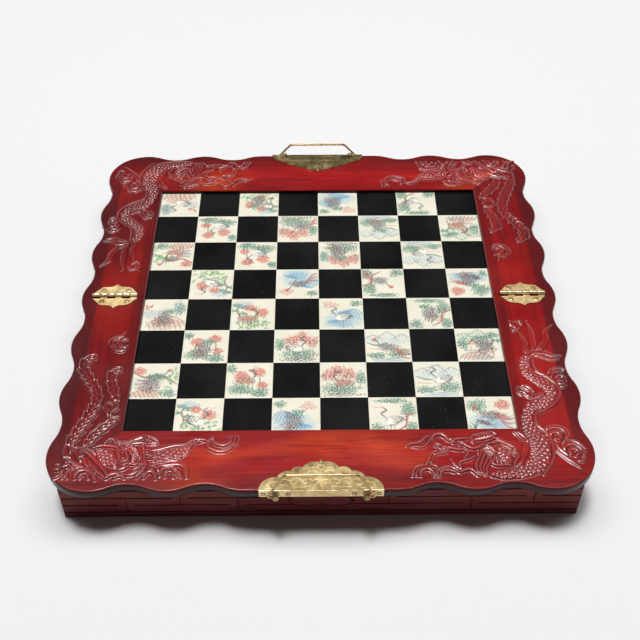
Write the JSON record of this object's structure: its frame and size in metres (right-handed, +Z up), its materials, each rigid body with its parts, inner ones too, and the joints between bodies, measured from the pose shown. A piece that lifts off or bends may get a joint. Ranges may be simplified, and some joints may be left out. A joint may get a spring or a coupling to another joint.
{
  "type": "folding carved game board case",
  "caption": "Folding wooden game board case: carved wavy frame round inlaid squares, fretted box with end drawers, brass hinges and bail handles.",
  "frame": {"origin": "middle of the underside of the open case", "axes": "+Z up out of the playing surface; +Y from the front handle to the rear handle, across the fold; +X along the fold line"},
  "size_m": [0.434, 0.447, 0.0659],
  "materials": {
    "red_lacquer": "orange-red lacquer over straight grain, gloss",
    "maroon_lacquer": "crimson lacquer over straight grain, gloss",
    "dark_lacquer": "dark red-brown lacquer, gloss",
    "plywood": "thinly stained wood, satin",
    "black_tile": "polished black tile with small pale specks",
    "ivory_tile": "cream tile with an inked picture, semi-gloss",
    "brass": "worn stamped sheet brass",
    "brass_wire": "drawn brass wire, worn",
    "steel": "steel pin",
    "velvet": "short pile cloth"
  },
  "bodies": {
    "rear_half": {"rear_rail": "red_lacquer", "rear_left_rail": "maroon_lacquer", "rear_right_rail": "maroon_lacquer", "rear_board_panel": "plywood", "rear_black_tiles": "black_tile", "rear_picture_tiles": "ivory_tile", "rear_wall": "dark_lacquer", "rear_split_wall": "dark_lacquer", "rear_left_end": "dark_lacquer", "rear_right_end": "dark_lacquer", "rear_floor": "plywood", "rear_divider": "plywood", "rear_drawer_guides": "plywood", "rear_handle_plate": "brass", "left_hinge_rear_leaf": "brass", "left_hinge_pin": "steel", "right_hinge_rear_leaf": "brass", "right_hinge_pin": "steel"},
    "front_half": {"front_rail": "red_lacquer", "front_left_rail": "maroon_lacquer", "front_right_rail": "maroon_lacquer", "front_board_panel": "plywood", "front_black_tiles": "black_tile", "front_picture_tiles": "ivory_tile", "front_wall": "dark_lacquer", "front_split_wall": "dark_lacquer", "front_left_end": "dark_lacquer", "front_right_end": "dark_lacquer", "front_floor": "plywood", "front_divider": "plywood", "front_drawer_guides": "plywood", "front_handle_plate": "brass", "left_hinge_front_leaf": "brass", "right_hinge_front_leaf": "brass"},
    "rear_bail": {"rear_bail": "brass_wire"},
    "front_bail": {"front_bail": "brass_wire"},
    "rear_left_drawer": {"rear_left_drawer_front": "dark_lacquer", "rear_left_drawer_tray": "plywood", "rear_left_drawer_lining": "velvet", "rear_left_drawer_knob": "brass"},
    "rear_right_drawer": {"rear_right_drawer_front": "dark_lacquer", "rear_right_drawer_tray": "plywood", "rear_right_drawer_lining": "velvet", "rear_right_drawer_knob": "brass"},
    "front_left_drawer": {"front_left_drawer_front": "dark_lacquer", "front_left_drawer_tray": "plywood", "front_left_drawer_lining": "velvet", "front_left_drawer_knob": "brass"},
    "front_right_drawer": {"front_right_drawer_front": "dark_lacquer", "front_right_drawer_tray": "plywood", "front_right_drawer_lining": "velvet", "front_right_drawer_knob": "brass"}
  },
  "joints": [
    {"name": "fold", "type": "hinge", "parent": "rear_half", "child": "front_half", "pos_m": [0, 0, 0.051], "axis": [-1, 0, 0], "range_deg": [0, 180]},
    {"name": "rear_bail_swing", "type": "hinge", "parent": "rear_half", "child": "rear_bail", "pos_m": [0, 0.2206, 0.0458], "axis": [-1, 0, 0], "range_deg": [0, 198]},
    {"name": "front_bail_swing", "type": "hinge", "parent": "front_half", "child": "front_bail", "pos_m": [0, -0.2206, 0.0458], "axis": [1, 0, 0], "range_deg": [0, 198]},
    {"name": "rear_left_drawer_slide", "type": "slide", "parent": "rear_half", "child": "rear_left_drawer", "axis": [-1, 0, 0], "range_m": [0, 0.15]},
    {"name": "rear_right_drawer_slide", "type": "slide", "parent": "rear_half", "child": "rear_right_drawer", "axis": [1, 0, 0], "range_m": [0, 0.15]},
    {"name": "front_left_drawer_slide", "type": "slide", "parent": "front_half", "child": "front_left_drawer", "axis": [-1, 0, 0], "range_m": [0, 0.15]},
    {"name": "front_right_drawer_slide", "type": "slide", "parent": "front_half", "child": "front_right_drawer", "axis": [1, 0, 0], "range_m": [0, 0.15]}
  ],
  "couplings": [
    {"joint": "rear_bail_swing", "follows": "fold", "ratio": 0.6},
    {"joint": "front_bail_swing", "follows": "fold", "ratio": 0.6}
  ]
}
